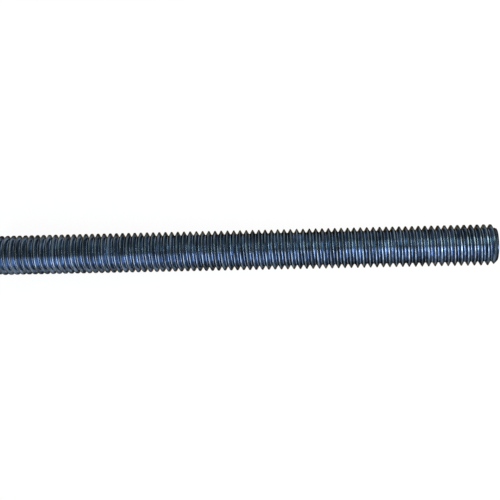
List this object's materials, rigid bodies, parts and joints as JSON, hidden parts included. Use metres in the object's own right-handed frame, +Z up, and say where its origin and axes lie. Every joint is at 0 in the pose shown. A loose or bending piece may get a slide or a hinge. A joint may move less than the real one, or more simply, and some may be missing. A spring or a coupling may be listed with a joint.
{
  "type": "threaded rod",
  "caption": "Headless steel rod, threaded over its whole length with a coarse right-hand metric thread and chamfered at both ends.",
  "frame": {"origin": "middle of the rod's length, on its axis", "axes": "+X along the rod's axis, +Z up; the thread is right-handed and both ends are alike"},
  "size_m": [0.1, 0.008, 0.008],
  "materials": {
    "oiled_steel": "dark blue-grey, rolled thread, lightly oiled"
  },
  "bodies": {
    "root": {"threaded_rod": "oiled_steel"}
  },
  "joints": []
}
